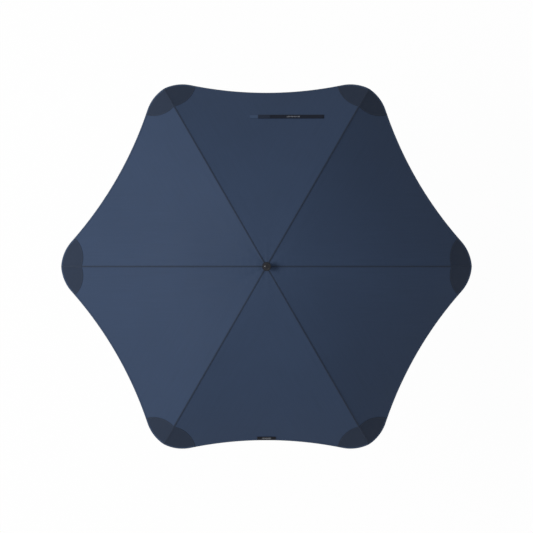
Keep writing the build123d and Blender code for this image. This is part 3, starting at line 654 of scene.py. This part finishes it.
def crown_cloth():
    """Ring of cloth that stays on the crown.  It meets the folding cloth along that cloth's edge,
    then drops a little to pass under it: drop times the clipped share of the first millimetre."""
    azimuth, distance = np.meshgrid(np.linspace(0, 2 * math.pi, 145),
                                    np.linspace(CLOTH_HOLE, CROWN_CLOTH + CROWN_LAP, 26))
    x, y = distance * np.cos(azimuth), distance * np.sin(azimuth)
    from_rib = np.mod(azimuth + HALF_STEP, RIB_STEP) - HALF_STEP
    past = np.clip((distance * np.cos(from_rib) - CROWN_CLOTH) / MM, 0, 1)
    points = on_cloth(x, y, -CROWN_DROP * past)
    piece = make_sheet("crown_cloth", points, cloth_normal(x, y), "canopy_fabric", np.stack([x, y], -1))
    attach(piece, "upper_shaft")


# ------------------------------------------------------------------ hems, seams and corners
def edge_strip(name, rib, side, angle, distance, lift, profile, finish):
    """Closed profile sewn along a curve of half a panel, given as distances by the angle from the rib."""
    azimuth = rib_azimuth(rib) + side * angle
    x, y = distance * np.cos(azimuth), distance * np.sin(azimuth)
    path = on_cloth(x, y, lift)
    up = cloth_normal(x, y)
    across = unit(np.cross(unit(np.gradient(path, axis=0)), up)) * side
    piece = make_strip(f"{name}_{rib}_{side_word(side)}", path, across, up,
                       profile if side > 0 else profile[::-1], finish)
    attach(piece, f"outer_{rib}")
    fold_flat(piece)


def hem_strip(rib, side):
    """Rolled hem of one half panel: an oval carried along the cloth's edge."""
    angle = np.linspace(0, HALF_STEP, 60)
    edge_strip("hem", rib, side, angle, outline(angle) - HEM_WIDTH * HEM_INSET, HEM_LIFT,
               oval(HEM_WIDTH, HEM_THICKNESS), "hem")


def seam_strip(rib, section):
    """Felled seam over a rib, or over the crown at its root: a low oval carried along the rib line."""
    near, far = SECTIONS.get(section, (CLOTH_HOLE, CROWN_CLOTH))
    along = np.linspace(near, far - (SEAM_STOP if section == "outer" else 0), 70)
    turn = rib_azimuth(rib)
    x, y = along * math.cos(turn), along * math.sin(turn)
    ripple = SEAM_RIPPLE * np.sin(along * 2 * math.pi / SEAM_RIPPLE_PITCH + rib)
    path = on_cloth(x, y, SEAM_LIFT) + np.stack([0 * along, 0 * along, ripple], -1)
    across = np.broadcast_to([-math.sin(turn), math.cos(turn), 0.0], path.shape)
    up = unit(np.cross(np.gradient(path, axis=0), across))
    piece = make_strip(f"seam_{section}_{rib}", path, across, up, oval(SEAM_WIDTH, SEAM_THICKNESS)[::-1],
                       "seam")
    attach(piece, f"{section}_{rib}" if section in SECTIONS else "upper_shaft")


def patch_edge(angle):
    """Inner edge of a corner patch at an angle from the rib: the near hit on the lobe's circle,
    whose centre stands out past the tip and to the side of the rib."""
    out = TIP_RADIUS + LOBE_BEYOND
    centre, turn = math.hypot(out, LOBE_ASIDE), angle - math.atan2(LOBE_ASIDE, out)
    inside = np.maximum(LOBE_RADIUS ** 2 - (centre * np.sin(turn)) ** 2, 0)
    return centre * np.cos(turn) - np.sqrt(inside)


def patch_angle():
    """Angle at which the patch's inner edge comes near enough to the hem to end there."""
    angle = np.linspace(0, HALF_STEP, 600)
    return float(angle[np.argmax(outline(angle) - patch_edge(angle) < PATCH_MEETS_HEM)])


def corner_cloth(rib, side):
    """Patch sewn on top of a corner, its stitched edge, and the pocket under it."""
    word = side_word(side)
    last = patch_angle()
    for name, lift in (("patch", PATCH_LIFT), ("pocket", -POCKET_DROP)):
        piece = panel_sheet(f"{name}_{rib}_{word}", rib, side, "outer", patch_edge,
                            lambda a: outline(a) - HEM_WIDTH * 0.5, last, 22, 22, "patch", lift)
        if name == "pocket":
            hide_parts(f"tip_spreader_{rib}")
    angle = np.linspace(0, last, 34)
    edge_strip("patch_edge", rib, side, angle, patch_edge(angle) + PATCH_EDGE_INSET, PATCH_LIFT,
               oval(PATCH_EDGE_WIDTH, PATCH_EDGE_THICKNESS), "seam")


def rod_socket(rib):
    """Moulded socket on a rod's end: radii along the rod's last stretch, with two collars."""
    turn = rib_azimuth(rib)
    along = np.array([0, 0, 1, 2.5, 4, 4.5, 14, 14.5, 16.5, 17, 22, 23.5, 24, 24]) * MM
    radius = np.array([0, 2.2, 2.6, 2.7, 2.6, 2.3, 2.9, 3.4, 3.4, 2.9, 3.1, 2.6, 1.6, 0]) * MM
    slope = section_slope(ROD_END[0] - SOCKET_REACH, ROD_END[0])
    outward = np.array([math.cos(turn) * math.cos(slope), math.sin(turn) * math.cos(slope), -math.sin(slope)])
    across = np.array([-math.sin(turn), math.cos(turn), 0])
    up = np.cross(outward, across)
    end = np.array([math.cos(turn) * ROD_END[0], math.sin(turn) * ROD_END[0], ROD_END[1]])
    origin = end + [0, 0, ROD_RADIUS / math.cos(slope)] - SOCKET_REACH * outward
    sides = 20
    spin = np.arange(sides) * 2 * math.pi / sides
    ring = np.cos(spin)[:, None] * across + np.sin(spin)[:, None] * up
    points = origin + along[:, None, None] * outward + radius[:, None, None] * ring[None]
    piece = make_piece(f"rod_socket_{rib}", points, grid_faces(len(along), sides, wrap=True, flip=True),
                       "spreader_plastic")
    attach(piece, f"outer_{rib}")
    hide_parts(f"tip_spreader_{rib}")


def elbow_gusset(rib):
    """Narrow cloth strip hidden under the canopy that covers the elbow when it folds."""
    half_width = ELBOW[0] * math.tan(HALF_STEP) * FOLDED_SHARE["outer"]
    turn = rib_azimuth(rib)
    out, sideways = np.meshgrid(np.linspace(-GUSSET_REACH, GUSSET_REACH, 50),
                                np.linspace(-half_width, half_width, 15), indexing="ij")
    along = ELBOW[0] + out
    x = along * math.cos(turn) - sideways * math.sin(turn)
    y = along * math.sin(turn) + sideways * math.cos(turn)
    points = on_cloth(x, y, -GUSSET_DROP)
    piece = make_sheet(f"elbow_gusset_{rib}", points, cloth_normal(x, y), "canopy_fabric",
                       np.stack([along, sideways], -1))
    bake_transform(piece)


# ------------------------------------------------------------------ springs
def coil_spring(name, box, axis, turns, wire, body):
    """Round wire on a helix that fills a box: middle + r (cos t, sin t) across the axis, and a
    share t / turns along it."""
    low, high = np.array(box[0]), np.array(box[1])
    middle, half = (low + high) / 2, (high - low) / 2
    first, second = (axis + 1) % 3, (axis + 2) % 3
    radius = half[first] - wire
    rings, sides = turns * 24 + 1, 8
    angle = np.linspace(0, turns * 2 * math.pi, rings)
    place = np.linspace(low[axis] + wire, high[axis] - wire, rings)
    out = np.zeros((rings, 3))
    out[:, first], out[:, second] = np.cos(angle), np.sin(angle)
    path = middle + radius * out
    path[:, axis] = place
    up = np.cross(unit(np.gradient(path, axis=0)), out)
    turn = np.arange(sides) * 2 * math.pi / sides
    profile = np.stack([np.cos(turn), np.sin(turn)], 1) * wire
    piece = make_strip(name, path, out, up, profile[::-1], "spring_steel")
    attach(piece, body)
    return piece


def springs():
    """Both coil springs, each a wire helix that fills its node's box, carried by that node's body."""
    for node, axis, turns, wire, body, joint in (
            ("opening_spring", 2, 17, 0.55 * MM, "upper_shaft", "shaft_telescope"),
            ("button_spring", 1, 3, 0.3 * MM, "handle", "button_press")):
        low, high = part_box(node)
        piece = coil_spring(f"{node}_wire", (low, high), axis, turns, wire, body)
        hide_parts(node)
        anchor = [(low[i] + high[i]) / 2 for i in range(3)]
        anchor[axis] = high[axis]
        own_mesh(piece)


# ------------------------------------------------------------------ strap and label
def tape_on_panel(name, ends, distance, width, thickness, lift, finish, direction):
    """Flat tape lying along a hem: an oval carried along X at a set distance from the shaft."""
    x = np.linspace(*ends, 60)
    y = np.full_like(x, distance * direction)
    path = on_cloth(x, y, lift)
    up = cloth_normal(x, y)
    across = unit(np.cross(unit(np.gradient(path, axis=0)), up))
    return make_strip(name, path, across, up, oval(width, thickness, 16, 0.35), finish)


def thread_marks(name, starts, distance, lift, direction):
    """Row of short raised bars in pale thread, every third one shorter."""
    profile = oval(MARK_WIDTH, MARK_THICKNESS, 8, 0.5)
    points, faces, uv = [], [], []
    for index, start in enumerate(starts):
        tall = MARK_HALF * (1.0 if index % 3 else 0.55)
        y = np.linspace(-tall, tall, 4) + distance * direction
        x = np.full_like(y, start)
        path = on_cloth(x, y, lift)
        up = cloth_normal(x, y)
        across = np.broadcast_to([1.0, 0, 0], path.shape)
        bar = (path[:, None] + profile[None, :, 0:1] * across[:, None]
               + profile[None, :, 1:2] * up[:, None])
        first = index * bar.shape[0] * bar.shape[1]
        faces += (grid_faces(*bar.shape[:2], wrap=True, flip=True) + first).tolist()
        last = first + 3 * len(profile)
        faces.append(list(range(first, first + len(profile)))[::-1])
        faces.append(list(range(last, last + len(profile))))
        points.append(bar.reshape(-1, 3))
        uv.append(bar.reshape(-1, 3)[:, :2])
    return make_piece(name, np.concatenate(points), faces, "marks", np.concatenate(uv))


def settle(piece, rib, side, slot, *nodes):
    """A piece on an outer panel moves with that panel, and stands for the nodes given."""
    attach(piece, f"outer_{rib}")
    if nodes:
        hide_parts(*nodes)
    fold_flat(piece)


def strap_and_label():
    """Closure strap with its tab, hooks and marks near the top hem, and the label on the bottom one."""
    strap = tape_on_panel("closure_strap_tape", STRAP_ENDS, STRAP_DISTANCE, STRAP_WIDTH, 1.3 * MM, 0.9 * MM,
                          "strap_fabric", 1)
    settle(strap, 2, 1, "strap_fabric", "closure_strap")
    tab = tape_on_panel("strap_loop_tab", TAB_ENDS, STRAP_DISTANCE, TAB_WIDTH, TAPE_THICKNESS, 0.6 * MM,
                        "tab", 1)
    settle(tab, 2, 1, "strap_fabric")
    hooks = tape_on_panel("strap_hook_tape", STRAP_HOOKS, STRAP_DISTANCE, STRAP_WIDTH * 0.9, TAPE_THICKNESS,
                          1.5 * MM, "hook_tape", 1)
    settle(hooks, 2, 1, "strap_fabric")
    marks = thread_marks("strap_marks", STRAP_MARKS, STRAP_DISTANCE, 1.6 * MM, 1)
    settle(marks, 2, 1, "strap_fabric")
    label = tape_on_panel("hem_label_tape", (-LABEL_HALF, LABEL_HALF), LABEL_DISTANCE, LABEL_WIDTH,
                          TAPE_THICKNESS, 0.9 * MM, "label_fabric", -1)
    settle(label, 6, -1, "label_fabric", "hem_label")
    dots = thread_marks("label_marks", LABEL_MARKS, LABEL_DISTANCE, 1.4 * MM, -1)
    settle(dots, 6, -1, "label_fabric")


# ------------------------------------------------------------------ frame parts, stage and light
def finish_frame_parts():
    """Every CAD node takes the finish of its material slot."""
    slots = {part["node"]: part["material_slot"] for part in frame["record"]["subparts"]}
    for name, node in frame["nodes"].items():
        node.data.materials.clear()
        node.data.materials.append(FINISHES[slots[name]])


def backdrop_finish():
    """Pale floor, seen as white with a faint trace of shadow, and not seen from below."""
    finish = Finish("pale floor", (0.86, 0.86, 0.86, 1), 0.9)
    glow = finish.node("ShaderNodeEmission", {}, {"Color": (1, 1, 1, 1), "Strength": 1.0})
    share = finish.seen_as_backdrop() * 0.97
    seen = finish.node("ShaderNodeMixShader", {}, {0: share, 1: finish.surface, 2: glow})
    behind = finish.node("ShaderNodeNewGeometry", {}, {}, "Backfacing")
    clear = finish.node("ShaderNodeBsdfTransparent", {}, {})
    finish.output(finish.node("ShaderNodeMixShader", {}, {0: behind, 1: seen, 2: clear}))
    return finish.material


def make_stage():
    mesh = bpy.data.meshes.new("floor")
    corners = [(-1, -1), (1, -1), (1, 1), (-1, 1)]
    places = [(x * FLOOR_REACH, y * FLOOR_REACH, FLOOR_HEIGHT) for x, y in corners]
    mesh.from_pydata(places, [], [(0, 1, 2, 3)])
    mesh.materials.append(backdrop_finish())
    floor = bpy.data.objects.new("floor", mesh)
    bpy.context.scene.collection.objects.link(floor)


def make_world():
    """Even pale sky, seen as white by the camera and in reflections."""
    world = bpy.data.worlds.new("studio")
    nodes = Nodes(world)
    sky = nodes.node("ShaderNodeBackground", {}, {"Color": (0.93, 0.96, 1.0, 1), "Strength": 0.45})
    white = nodes.node("ShaderNodeBackground", {}, {"Color": (1, 1, 1, 1), "Strength": 1.0})
    mixed = nodes.node("ShaderNodeMixShader", {}, {0: nodes.seen_as_backdrop(), 1: sky, 2: white})
    nodes.node("ShaderNodeOutputWorld", {}, {"Surface": mixed})
    bpy.context.scene.world = world


def make_lamp(name, place, size, power, color):
    """Square soft lamp turned towards the canopy's middle."""
    data = bpy.data.lights.new(name, "AREA")
    data.size, data.energy, data.color = size, power, color
    lamp = bpy.data.objects.new(name, data)
    lamp.location = place
    towards = Vector((0, 0, TIP_HEIGHT)) - Vector(place)
    lamp.rotation_euler = towards.to_track_quat("-Z", "Y").to_euler()
    bpy.context.scene.collection.objects.link(lamp)


def build():
    finish_frame_parts()
    for rib in range(1, RIBS + 1):
        for side in (1, -1):
            cloth_over_rib(rib, side)
            hem_strip(rib, side)
            corner_cloth(rib, side)
        for section in ("crown", *SECTIONS):
            seam_strip(rib, section)
        rod_socket(rib)
        elbow_gusset(rib)
    crown_cloth()
    springs()
    strap_and_label()
    make_stage()
    make_world()
    for name, (place, size, power, color) in LAMPS.items():
        make_lamp(name, place, size, power, color)
    bpy.context.scene.view_settings.view_transform = "Standard"


build()
